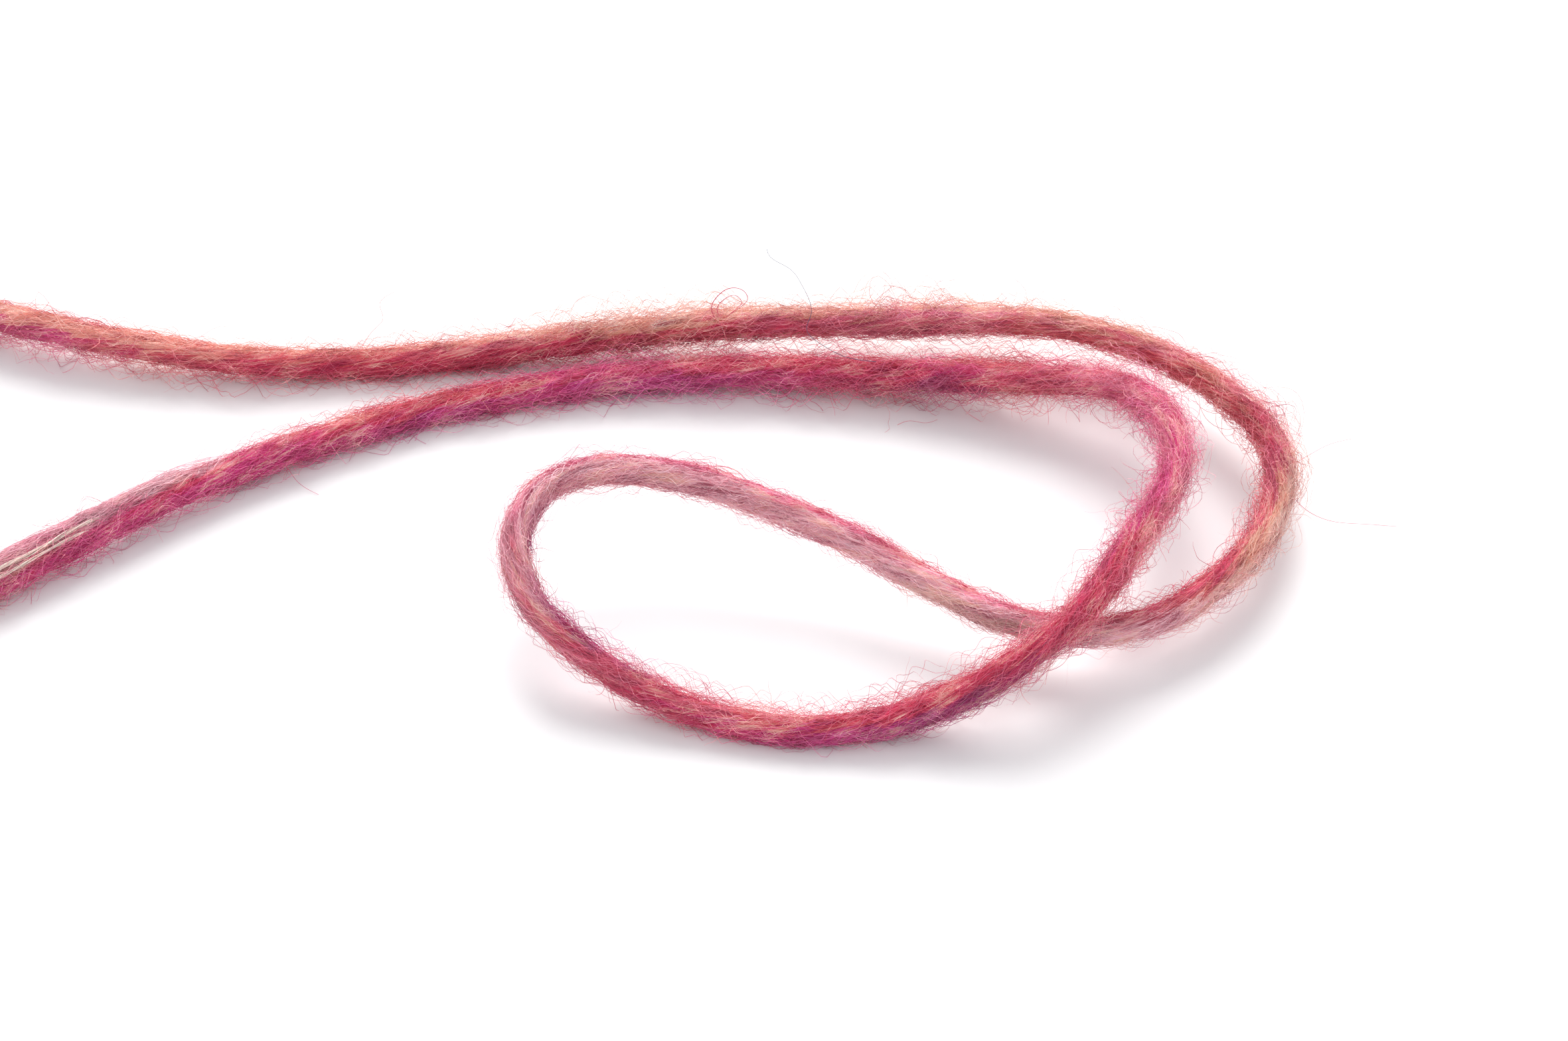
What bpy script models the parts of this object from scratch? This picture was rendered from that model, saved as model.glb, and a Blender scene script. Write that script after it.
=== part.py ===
"""A cut length of soft, loosely plied cotton and merino yarn, lying on a table.

The yarn comes in from the left, runs right in a long strand, turns back in a wide
curve, makes a loop that crosses over itself, and runs out to the left again in a
second strand. Its right side and its loop bow up off the table in long arches.
Metres, +Z up, +X to the right along the strands, +Y to the back. The origin is on
the table, under the middle of the whole piece.
"""

import math

import bmesh
import bpy
import numpy as np

MM = 0.001

# The yarn: three plies, laid in a slow S twist
PLIES = 3
RADIUS = 1.0 * MM
TWIST_PITCH = 16.0 * MM
RING_STEP = 0.9 * MM

# One ply's share of the outline, from its crown to the groove beside it
PLY_OUTLINE = {
    "crown": 1.08,
    "shoulder": 1.01,
    "groove": 0.88,
    "next shoulder": 1.01,
}

# Slow swells that keep a spun yarn uneven: share of the radius, and length of one swell
SWELLS = [
    {"share": 0.045, "length": 41.0 * MM, "start": 0.10},
    {"share": 0.030, "length": 13.5 * MM, "start": 0.55},
]

# Near its second end the plies have begun to open
OPEN_END_LENGTH = 15.0 * MM
OPEN_END_SWELL = 0.30

# The table's surface, and the middle of the whole piece on it, from the route's own zero
TABLE_HEIGHT = 0.0
MIDDLE_X = 2.091 * MM
MIDDLE_Y = -0.511 * MM

# Middle line of the yarn in millimetres: right, back, up
ROUTE = [
    (-38.5, 17.1, 0.74),
    (-34.0, 15.1, 1.35),
    (-29.5, 13.4, 1.70),
    (-23.1, 11.8, 1.50),
    (-16.6, 11.0, 1.15),
    (-7.5, 11.6, 0.76),
    (2.0, 12.5, 1.50),
    (10.5, 13.2, 2.10),
    (19.5, 13.3, 2.20),
    (28.0, 13.0, 2.45),
    (34.1, 10.8, 2.75),
    (39.0, 6.7, 3.00),
    (41.8, 1.9, 3.00),
    (41.6, -2.7, 2.80),
    (38.7, -7.7, 2.60),
    (34.3, -11.2, 2.45),
    (28.9, -11.8, 2.35),
    (23.4, -9.8, 2.90),
    (17.5, -6.3, 3.90),
    (11.5, -3.8, 5.00),
    (5.8, -2.6, 5.70),
    (1.3, -3.6, 5.80),
    (-0.8, -6.4, 5.15),
    (-0.1, -10.8, 3.90),
    (4.0, -14.4, 2.10),
    (9.5, -16.8, 0.88),
    (16.0, -17.9, 0.76),
    (22.5, -16.9, 1.80),
    (27.5, -15.1, 3.90),
    (30.9, -11.9, 4.90),
    (33.4, -7.4, 5.05),
    (35.7, -2.5, 4.90),
    (35.9, 1.6, 4.50),
    (34.0, 5.6, 3.80),
    (30.3, 7.5, 3.00),
    (22.0, 9.2, 1.75),
    (12.0, 10.1, 1.25),
    (2.5, 9.5, 0.90),
    (-8.0, 6.8, 0.76),
    (-18.4, 1.4, 1.20),
    (-28.5, -5.7, 1.20),
    (-36.6, -11.0, 0.78),
]

# Mean of the dyed wool's rose and crimson
YARN_COLOUR = (0.56, 0.11, 0.20, 1.0)
YARN_ROUGHNESS = 0.95

COLLECTION = "cotton_merino_yarn"
YARN = "yarn"


def clear_scene():
    for item in list(bpy.data.objects):
        bpy.data.objects.remove(item)


def middle_line():
    """Points a ring apart on one smooth curve through the route, and how far along each one is."""
    places = (np.array(ROUTE) * MM) - (MIDDLE_X, MIDDLE_Y, 0.0)
    gap = np.linalg.norm(np.diff(places, axis=0), axis=1)
    knot = np.concatenate([[0.0], np.cumsum(gap)])
    count = len(places)
    sums = np.eye(count)
    pull = np.zeros((count, 3))
    for i in range(1, count - 1):
        sums[i, i - 1 : i + 2] = gap[i - 1], 2 * (gap[i - 1] + gap[i]), gap[i]
        ahead = (places[i + 1] - places[i]) / gap[i]
        behind = (places[i] - places[i - 1]) / gap[i - 1]
        pull[i] = 6 * (ahead - behind)
    bend = np.linalg.solve(sums, pull)
    at = np.linspace(0.0, knot[-1], round(knot[-1] / RING_STEP) + 1)
    i = np.clip(np.searchsorted(knot, at, side="right") - 1, 0, count - 2)
    span = gap[i][:, None]
    after = (at - knot[i])[:, None] / span
    before = 1 - after
    line = before * places[i] + after * places[i + 1]
    line += span**2 / 6 * ((before**3 - before) * bend[i] + (after**3 - after) * bend[i + 1])
    steps = np.linalg.norm(np.diff(line, axis=0), axis=1)
    return line, np.concatenate([[0.0], np.cumsum(steps)])


def thickness(along, whole):
    """The yarn's radius at a distance along it, as a share of RADIUS."""
    share = 1.0
    for swell in SWELLS:
        share += swell["share"] * math.sin(2 * math.pi * (along / swell["length"] + swell["start"]))
    opening = max(0.0, 1 - (whole - along) / OPEN_END_LENGTH)
    return share + OPEN_END_SWELL * opening**2 * (3 - 2 * opening)


def cross_section():
    """The closed outline of the plies lying against each other."""
    shares = list(PLY_OUTLINE.values()) * PLIES
    outline = bpy.data.curves.new("cross_section", "CURVE")
    outline.dimensions = "2D"
    ring = outline.splines.new("POLY")
    ring.points.add(len(shares) - 1)
    for i, share in enumerate(shares):
        turn = 2 * math.pi * i / len(shares)
        ring.points[i].co = (RADIUS * share * math.cos(turn), RADIUS * share * math.sin(turn), 0.0, 1.0)
    ring.use_cyclic_u = True
    guide = bpy.data.objects.new("cross_section", outline)
    guide.hide_render = True
    guide.display_type = "WIRE"
    bpy.context.scene.collection.objects.link(guide)
    return guide


def twisted_strand(outline):
    """The outline carried along the middle line, turning with the plies' twist."""
    line, along = middle_line()
    strand = bpy.data.curves.new(YARN, "CURVE")
    strand.dimensions = "3D"
    strand.twist_mode = "Z_UP"
    strand.bevel_mode = "OBJECT"
    strand.bevel_object = outline
    strand.use_fill_caps = True
    spline = strand.splines.new("POLY")
    spline.points.add(len(line) - 1)
    for point, place, distance in zip(spline.points, line, along, strict=True):
        point.co = (*place, 1.0)
        point.tilt = -2 * math.pi * distance / TWIST_PITCH
        point.radius = thickness(distance, along[-1])
    guide = bpy.data.objects.new("strand", strand)
    bpy.context.scene.collection.objects.link(guide)
    return guide


def solid_of(guide):
    """The strand as one closed mesh, pressed flat where it lies on the table."""
    bpy.context.view_layer.update()
    reading = bpy.context.evaluated_depsgraph_get()
    mesh = bpy.data.meshes.new_from_object(guide.evaluated_get(reading), depsgraph=reading)
    mesh.name = YARN
    body = bmesh.new()
    body.from_mesh(mesh)
    bmesh.ops.remove_doubles(body, verts=body.verts, dist=0.00001)
    for corner in body.verts:
        corner.co.z = max(corner.co.z, TABLE_HEIGHT)
    bmesh.ops.recalc_face_normals(body, faces=body.faces)
    body.to_mesh(mesh)
    body.free()
    return mesh


def wool_material():
    material = bpy.data.materials.new("dyed_wool")
    material.use_nodes = True
    surface = material.node_tree.nodes["Principled BSDF"]
    surface.inputs["Base Color"].default_value = YARN_COLOUR
    surface.inputs["Roughness"].default_value = YARN_ROUGHNESS
    surface.inputs["Metallic"].default_value = 0.0
    return material


def build():
    clear_scene()
    outline = cross_section()
    guide = twisted_strand(outline)
    mesh = solid_of(guide)
    mesh.materials.clear()
    mesh.materials.append(wool_material())
    mesh.shade_smooth()
    yarn = bpy.data.objects.new(YARN, mesh)
    yarn.matrix_world = guide.matrix_world.copy()
    for helper in (guide, outline):
        bpy.data.objects.remove(helper)
    parts = bpy.data.collections.new(COLLECTION)
    bpy.context.scene.collection.children.link(parts)
    parts.objects.link(yarn)


build()
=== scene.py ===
"""A cut length of soft, hand-dyed cotton and merino yarn, lying on a white table.

Metres, +Z up, +X to the right along the two long strands, +Y to the back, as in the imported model.
"""

import math

import bmesh
import bpy
import numpy as np
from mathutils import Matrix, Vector


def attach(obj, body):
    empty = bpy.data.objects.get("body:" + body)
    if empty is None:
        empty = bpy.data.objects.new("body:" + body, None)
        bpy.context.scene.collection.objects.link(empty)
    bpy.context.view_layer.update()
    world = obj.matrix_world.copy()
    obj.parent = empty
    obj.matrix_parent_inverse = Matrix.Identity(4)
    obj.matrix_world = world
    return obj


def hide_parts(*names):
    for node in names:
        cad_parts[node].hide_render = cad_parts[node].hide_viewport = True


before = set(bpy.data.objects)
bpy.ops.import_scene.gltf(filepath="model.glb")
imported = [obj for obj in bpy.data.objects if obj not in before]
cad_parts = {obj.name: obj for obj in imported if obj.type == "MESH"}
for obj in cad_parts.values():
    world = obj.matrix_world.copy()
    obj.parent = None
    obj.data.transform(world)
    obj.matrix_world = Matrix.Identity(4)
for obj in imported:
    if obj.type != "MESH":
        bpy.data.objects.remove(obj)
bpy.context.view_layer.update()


# Camera
# A close-up lens looks down on the yarn at 45 degrees, from 33 cm away. The photograph is
# 89 mm wide where the yarn lies, and both cut ends are just past its left edge.
MM = 0.001
CAMERA_ELEVATION = math.radians(45.0)
CAMERA_DISTANCE = 334.25 * MM
CAMERA_AIM = Vector((11.855 * MM, -0.4 * MM, 0.0))
CAMERA_LENS = 135.0
SENSOR_WIDTH = 36.0

camera = bpy.data.objects.new("camera", bpy.data.cameras.new("camera"))
camera.data.lens = CAMERA_LENS
camera.data.sensor_width = SENSOR_WIDTH
camera.data.clip_start = 0.01
camera.data.clip_end = 20.0
camera.rotation_euler = (math.pi / 2 - CAMERA_ELEVATION, 0.0, 0.0)
camera.location = CAMERA_AIM + CAMERA_DISTANCE * Vector(
    (0.0, -math.cos(CAMERA_ELEVATION), math.sin(CAMERA_ELEVATION))
)
bpy.context.scene.collection.objects.link(camera)
bpy.context.scene.camera = camera
bpy.context.scene.view_settings.view_transform = "Standard"


# Core of the yarn
# Three soft plies in a slow S twist. Each is a loose bundle of fibres, so its surface is
# ridged along the fibres' lay, and the yarn swells and thins. It is pressed flat on the table.
PLIES = 3
RADIUS = 1.0 * MM
TWIST_PITCH = 16.0 * MM
TABLE_HEIGHT = 0.0

# The core's share of the yarn's radius: the fibres round it fill the rest
CORE_SHARE = 0.745

# The fibres in a ply turn round the yarn at this share of the plies' own twist
LAY_SHARE = 0.5

# The grooves between the plies are shallow, and deeper at the second end, where the plies open
GROOVE_DEPTH = 0.11
GROOVE_SHARPNESS = 2.5
OPEN_GROOVE_DEPTH = 0.26
OPEN_END_LENGTH = 15.0 * MM
OPEN_END_SWELL = 0.30

# Slow swells, and bundles of fibres that ridge the surface. Heights are shares of the radius
SWELLS = [
    {"share": 0.045, "length": 41.0 * MM, "start": 0.10},
    {"share": 0.030, "length": 13.5 * MM, "start": 0.55},
]
BUNDLES = [
    {"count": 4, "length": 5.0 * MM, "height": 0.060},
    {"count": 11, "length": 2.6 * MM, "height": 0.050},
    {"count": 23, "length": 1.3 * MM, "height": 0.030},
]
RING_STEP = 0.30 * MM
AROUND = 48
CAP_RINGS = 2
CAP_BULGE = 0.3 * MM
MERGE_GAP = 0.0005 * MM

# Middle line of the yarn in millimetres: right, back, up; and the middle of the whole piece
MIDDLE_X = 2.091 * MM
MIDDLE_Y = -0.511 * MM
ROUTE = [
    (-38.5, 17.1, 0.74),
    (-34.0, 15.1, 1.35),
    (-29.5, 13.4, 1.70),
    (-23.1, 11.8, 1.50),
    (-16.6, 11.0, 1.15),
    (-7.5, 11.6, 0.76),
    (2.0, 12.5, 1.50),
    (10.5, 13.2, 2.10),
    (19.5, 13.3, 2.20),
    (28.0, 13.0, 2.45),
    (34.1, 10.8, 2.75),
    (39.0, 6.7, 3.00),
    (41.8, 1.9, 3.00),
    (41.6, -2.7, 2.80),
    (38.7, -7.7, 2.60),
    (34.3, -11.2, 2.45),
    (28.9, -11.8, 2.35),
    (23.4, -9.8, 2.90),
    (17.5, -6.3, 3.90),
    (11.5, -3.8, 5.00),
    (5.8, -2.6, 5.70),
    (1.3, -3.6, 5.80),
    (-0.8, -6.4, 5.15),
    (-0.1, -10.8, 3.90),
    (4.0, -14.4, 2.10),
    (9.5, -16.8, 0.88),
    (16.0, -17.9, 0.76),
    (22.5, -16.9, 1.80),
    (27.5, -15.1, 3.90),
    (30.9, -11.9, 4.90),
    (33.4, -7.4, 5.05),
    (35.7, -2.5, 4.90),
    (35.9, 1.6, 4.50),
    (34.0, 5.6, 3.80),
    (30.3, 7.5, 3.00),
    (22.0, 9.2, 1.75),
    (12.0, 10.1, 1.25),
    (2.5, 9.5, 0.90),
    (-8.0, 6.8, 0.76),
    (-18.4, 1.4, 1.20),
    (-28.5, -5.7, 1.20),
    (-36.6, -11.0, 0.78),
]


def unit(ways):
    """The ways, each made one long."""
    return ways / np.maximum(np.linalg.norm(ways, axis=-1, keepdims=True), 1e-12)


def smooth_line(places, step):
    """Points about a step apart on one smooth curve through the places, and how far along each is."""
    gap = np.linalg.norm(np.diff(places, axis=0), axis=1)
    knot = np.concatenate([[0.0], np.cumsum(gap)])
    count = len(places)
    sums = np.eye(count)
    pull = np.zeros((count, 3))
    for i in range(1, count - 1):
        sums[i, i - 1 : i + 2] = gap[i - 1], 2 * (gap[i - 1] + gap[i]), gap[i]
        ahead = (places[i + 1] - places[i]) / gap[i]
        behind = (places[i] - places[i - 1]) / gap[i - 1]
        pull[i] = 6 * (ahead - behind)
    bend = np.linalg.solve(sums, pull)
    at = np.linspace(0.0, knot[-1], round(knot[-1] / step) + 1)
    i = np.clip(np.searchsorted(knot, at, side="right") - 1, 0, count - 2)
    span = gap[i][:, None]
    after = (at - knot[i])[:, None] / span
    before = 1 - after
    line = before * places[i] + after * places[i + 1]
    line += span**2 / 6 * ((before**3 - before) * bend[i] + (after**3 - after) * bend[i + 1])
    steps = np.linalg.norm(np.diff(line, axis=0), axis=1)
    return line, np.concatenate([[0.0], np.cumsum(steps)])


LINE, ALONG = smooth_line(np.array(ROUTE) * MM - (MIDDLE_X, MIDDLE_Y, 0.0), RING_STEP)
LENGTH = ALONG[-1]
AHEAD = unit(np.gradient(LINE, axis=0))
RIGHT = unit(np.cross(AHEAD, (0.0, 0.0, 1.0)))
UPWARD = np.cross(RIGHT, AHEAD)


def at_distance(values, along):
    """The value, at distances along the yarn, of something known at each ring."""
    return np.stack([np.interp(along, ALONG, values[:, i]) for i in range(3)], axis=-1)


def outward(along, side):
    """The way out from the middle line. side is in turns: 0 is right, 0.25 up and 0.5 left."""
    turn = 2 * math.pi * side[..., None]
    return np.cos(turn) * at_distance(RIGHT, along) + np.sin(turn) * at_distance(UPWARD, along)


def patchy(turns, along, count, length, seed):
    """Smooth random values from -1 to 1: count patches round the yarn, each about one length long."""
    table = np.random.default_rng(seed).uniform(-1, 1, (int(LENGTH / length) + 3, count))
    x = np.mod(turns, 1.0) * count
    y = np.clip(along, 0.0, LENGTH) / length
    i, j = np.floor(x).astype(int), np.floor(y).astype(int)
    across = (x - i) ** 2 * (3 - 2 * (x - i))
    onward = (y - j) ** 2 * (3 - 2 * (y - j))
    near = table[j, i % count] * (1 - across) + table[j, (i + 1) % count] * across
    far = table[j + 1, i % count] * (1 - across) + table[j + 1, (i + 1) % count] * across
    return near * (1 - onward) + far * onward


def core_radius(along, side):
    """From the middle line to the core's surface."""
    phase = side - along / TWIST_PITCH
    opening = np.clip(1 - (LENGTH - along) / OPEN_END_LENGTH, 0.0, 1.0)
    opening = opening**2 * (3 - 2 * opening)
    share = 1.0 + OPEN_END_SWELL * opening
    for swell in SWELLS:
        waves = along / swell["length"] + swell["start"]
        share = share + swell["share"] * np.sin(2 * math.pi * waves)
    groove = np.abs(np.sin(math.pi * PLIES * phase)) ** GROOVE_SHARPNESS
    share = share * (1 - (GROOVE_DEPTH + (OPEN_GROOVE_DEPTH - GROOVE_DEPTH) * opening) * groove)
    lay = side - LAY_SHARE * along / TWIST_PITCH
    for seed, bundle in enumerate(BUNDLES):
        share = share + bundle["height"] * patchy(lay, along, bundle["count"], bundle["length"], seed)
    return RADIUS * CORE_SHARE * share


def core_mesh():
    """A grid rolled round the middle line, with two more rows at each end that close it."""
    rows = len(LINE) - 1 + 2 * CAP_RINGS
    sheet = bmesh.new()
    sheet.loops.layers.uv.new("OFBake")
    bmesh.ops.create_grid(sheet, x_segments=AROUND, y_segments=rows, size=0.5, calc_uvs=True)
    mesh = bpy.data.meshes.new("yarn_core")
    sheet.to_mesh(mesh)
    flat = np.empty(len(mesh.vertices) * 3)
    mesh.vertices.foreach_get("co", flat)
    flat = flat.reshape(-1, 3)
    ring = (flat[:, 1] + 0.5) * rows - CAP_RINGS
    past = np.maximum(-ring, ring - (len(LINE) - 1)).clip(0, CAP_RINGS) / CAP_RINGS
    along = np.interp(ring, np.arange(len(ALONG)), ALONG)
    side = flat[:, 0] + 0.5 + along / TWIST_PITCH
    bulge = np.sign(ring) * CAP_BULGE * past * (2 - past)
    places = at_distance(LINE, along) + at_distance(AHEAD, along) * bulge[:, None]
    places += outward(along, side) * (core_radius(along, side) * (1 - past))[:, None]
    places[:, 2] = np.maximum(places[:, 2], TABLE_HEIGHT)
    mesh.vertices.foreach_set("co", places.ravel())
    sheet.free()
    body = bmesh.new()
    body.from_mesh(mesh)
    bmesh.ops.remove_doubles(body, verts=body.verts, dist=MERGE_GAP)
    bmesh.ops.recalc_face_normals(body, faces=body.faces)
    body.to_mesh(mesh)
    body.free()
    mesh.shade_smooth()
    return mesh


# Dyes, as they look on screen, and where along the yarn the dyer dabbed each one, in millimetres.
# The four bands run round the yarn: low right, high right, high left and low left of the way ahead.
# They keep to up and down and do not turn with the twist, so besides the dye they hold painted
# light: paler high bands for the lit top and darker low ones for the shaded underside.
DYES = {
    "peach": (247, 207, 191),
    "coral": (240, 172, 158),
    "tan": (226, 168, 146),
    "beige": (226, 194, 184),
    "ecru": (242, 230, 216),
    "pale pink": (247, 203, 212),
    "dusty pink": (234, 174, 186),
    "pink": (240, 149, 176),
    "hot pink": (235, 106, 160),
    "rose": (230, 122, 146),
    "brick": (224, 106, 116),
    "crimson": (218, 72, 108),
    "magenta": (218, 72, 140),
    "violet": (212, 76, 152),
    "plum": (172, 66, 122),
    "wine": (158, 44, 78),
}
DABS_WITH_PAINTED_LIGHT = [
    (0, "crimson", "coral", "peach", "rose"),
    (7, "rose", "coral", "peach", "rose"),
    (10, "magenta", "coral", "coral", "rose"),
    (17, "brick", "coral", "coral", "coral"),
    (24, "crimson", "brick", "coral", "coral"),
    (31, "crimson", "brick", "coral", "coral"),
    (37, "crimson", "rose", "peach", "coral"),
    (43, "crimson", "tan", "ecru", "peach"),
    (48, "brick", "tan", "peach", "peach"),
    (52, "crimson", "rose", "peach", "tan"),
    (56, "rose", "tan", "peach", "peach"),
    (60, "rose", "pink", "peach", "peach"),
    (66, "rose", "pink", "peach", "peach"),
    (70, "brick", "tan", "tan", "peach"),
    (75, "brick", "rose", "peach", "peach"),
    (80, "brick", "tan", "rose", "pale pink"),
    (85, "brick", "crimson", "rose", "peach"),
    (90, "brick", "rose", "tan", "beige"),
    (95, "crimson", "brick", "tan", "peach"),
    (100, "crimson", "crimson", "brick", "dusty pink"),
    (106, "rose", "rose", "dusty pink", "pale pink"),
    (112, "rose", "pink", "pale pink", "beige"),
    (118, "rose", "pink", "dusty pink", "pale pink"),
    (124, "rose", "pink", "pale pink", "dusty pink"),
    (129, "rose", "pink", "dusty pink", "pale pink"),
    (134, "rose", "pink", "pale pink", "dusty pink"),
    (139, "dusty pink", "pink", "pale pink", "dusty pink"),
    (144, "dusty pink", "dusty pink", "dusty pink", "plum"),
    (150, "rose", "crimson", "plum", "violet"),
    (156, "crimson", "rose", "crimson", "rose"),
    (162, "magenta", "brick", "rose", "rose"),
    (168, "violet", "crimson", "rose", "rose"),
    (173, "plum", "crimson", "crimson", "rose"),
    (181, "crimson", "crimson", "crimson", "rose"),
    (187, "rose", "crimson", "magenta", "pink"),
    (193, "pink", "hot pink", "magenta", "pink"),
    (199, "pink", "hot pink", "pink", "hot pink"),
    (205, "pink", "rose", "pink", "rose"),
    (209, "brick", "brick", "crimson", "crimson"),
    (213, "brick", "rose", "magenta", "plum"),
    (217, "rose", "brick", "crimson", "crimson"),
    (222, "rose", "crimson", "crimson", "magenta"),
    (227, "rose", "crimson", "crimson", "violet"),
    (232, "magenta", "magenta", "hot pink", "violet"),
    (237, "magenta", "magenta", "crimson", "magenta"),
    (242, "rose", "brick", "crimson", "violet"),
    (248, "rose", "brick", "crimson", "magenta"),
    (253, "pink", "rose", "magenta", "magenta"),
    (258, "pale pink", "pale pink", "crimson", "magenta"),
    (263, "pale pink", "pale pink", "magenta", "magenta"),
    (270, "pale pink", "pink", "rose", "magenta"),
    (277, "pale pink", "pink", "rose", "crimson"),
]

# Where each band meets the next, in turns from the yarn's underside, and half of each edge's width
BAND_EDGES = [0.375, 0.50, 0.625]
BAND_BLUR = 0.02
UNDERSIDE = 0.25

# Streaks of dye: how many go round the yarn, how long one is in millimetres, and how fine
STREAKS = {
    "fibres": {"count": 66, "length": 1.7, "detail": 2.5},
    "locks": {"count": 14, "length": 3.0, "detail": 1.5},
    "mottle": {"count": 4, "length": 6.0, "detail": 1.0},
    "blotches": {"count": 6, "length": 3.2, "detail": 2.0},
}

# How far they shift the bands' edges, in turns, and the dabs along the yarn, in millimetres
EDGE_SHIFTS = {"fibres": 0.07, "locks": 0.09, "mottle": 0.05}
DAB_SHIFTS = {"locks": -4.0, "fibres": 2.5}

# Pale and dark fibres in the dye: how far blotches gather them, and between which values they show
PALE = {"dye": "peach", "gather": 0.12, "none": 0.54, "most": 0.68, "share": 0.7}
DARK = {"dye": "wine", "gather": 0.10, "none": 0.47, "most": 0.33, "share": 0.7}


def linear(screen):
    """A screen colour, 0 to 255, as the linear colour that a shader takes."""
    shares = [value / 255 for value in screen]
    return (*[x / 12.92 if x <= 0.04045 else ((x + 0.055) / 1.055) ** 2.4 for x in shares], 1.0)


def add(tree, kind, inputs=(), **settings):
    """A new node with its settings. Each input is a number, a colour, or a socket to link."""
    node = tree.nodes.new(kind)
    for name, value in settings.items():
        setattr(node, name, value)
    for name, value in dict(inputs).items():
        if isinstance(value, bpy.types.NodeSocket):
            tree.links.new(value, node.inputs[name])
        else:
            node.inputs[name].default_value = value
    return node


def sum_of(tree, operation, first, second=0.0):
    return add(tree, "ShaderNodeMath", {0: first, 1: second}, operation=operation).outputs[0]


def mixed(tree, share, first, second):
    node = add(tree, "ShaderNodeMix", data_type="RGBA")
    for name, value in (("Factor_Float", share), ("A_Color", first), ("B_Color", second)):
        socket = next(x for x in node.inputs if x.identifier == name)
        if isinstance(value, bpy.types.NodeSocket):
            tree.links.new(value, socket)
        else:
            socket.default_value = value
    return next(x for x in node.outputs if x.identifier == "Result_Color")


def ranged(tree, value, low, high, to_low, to_high, smooth=False):
    way = "SMOOTHSTEP" if smooth else "LINEAR"
    inputs = {"Value": value, 1: low, 2: high, 3: to_low, 4: to_high}
    return add(tree, "ShaderNodeMapRange", inputs, interpolation_type=way).outputs["Result"]


def places_on_yarn(tree):
    """The phase round the yarn's plies in turns, and the distance along it in millimetres."""
    chart = add(tree, "ShaderNodeUVMap", uv_map="OFBake")
    split = add(tree, "ShaderNodeSeparateXYZ", {0: chart.outputs["UV"]})
    cap = CAP_RINGS * LENGTH / (len(LINE) - 1) / MM
    along = sum_of(tree, "MULTIPLY", split.outputs["Y"], LENGTH / MM + 2 * cap)
    return split.outputs["X"], sum_of(tree, "SUBTRACT", along, cap)


def shifted(tree, value, noise, reach, low=0.2, high=0.8):
    """The value moved by a noise: down by the reach where the noise is low, up by it where high."""
    return sum_of(tree, "ADD", value, ranged(tree, noise, low, high, -reach, reach))


def streaky(tree, turns, along, count, length, detail):
    """Noise with about count streaks round the yarn, each about one length long, with no seam."""
    turn = sum_of(tree, "MULTIPLY", turns, 2 * math.pi)
    reach = count / (2 * math.pi)
    x = sum_of(tree, "MULTIPLY", sum_of(tree, "COSINE", turn), reach)
    y = sum_of(tree, "MULTIPLY", sum_of(tree, "SINE", turn), reach)
    z = sum_of(tree, "MULTIPLY", along, 1 / length)
    place = add(tree, "ShaderNodeCombineXYZ", {0: x, 1: y, 2: z}).outputs[0]
    noise = add(tree, "ShaderNodeTexNoise", {"Vector": place, "Scale": 1.0, "Detail": detail})
    return noise.outputs["Fac"]


def dye_ramps(tree, along, band):
    """One band's colours: a ramp for each half of the yarn's length."""
    halves = []
    middle = len(DABS_WITH_PAINTED_LIGHT) // 2
    for dabs in (DABS_WITH_PAINTED_LIGHT[: middle + 1], DABS_WITH_PAINTED_LIGHT[middle:]):
        start, end = dabs[0][0], dabs[-1][0]
        share = ranged(tree, along, float(start), float(end), 0.0, 1.0)
        ramp = add(tree, "ShaderNodeValToRGB", {"Fac": share})
        stops = ramp.color_ramp.elements
        for dab in dabs[1:-1]:
            stops.new((dab[0] - start) / (end - start))
        for stop, dab in zip(stops, dabs, strict=True):
            stop.color = linear(DYES[dab[1 + band]])
        halves.append(ramp.outputs["Color"])
    later = sum_of(tree, "GREATER_THAN", along, float(DABS_WITH_PAINTED_LIGHT[middle][0]))
    return mixed(tree, later, *halves)


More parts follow.
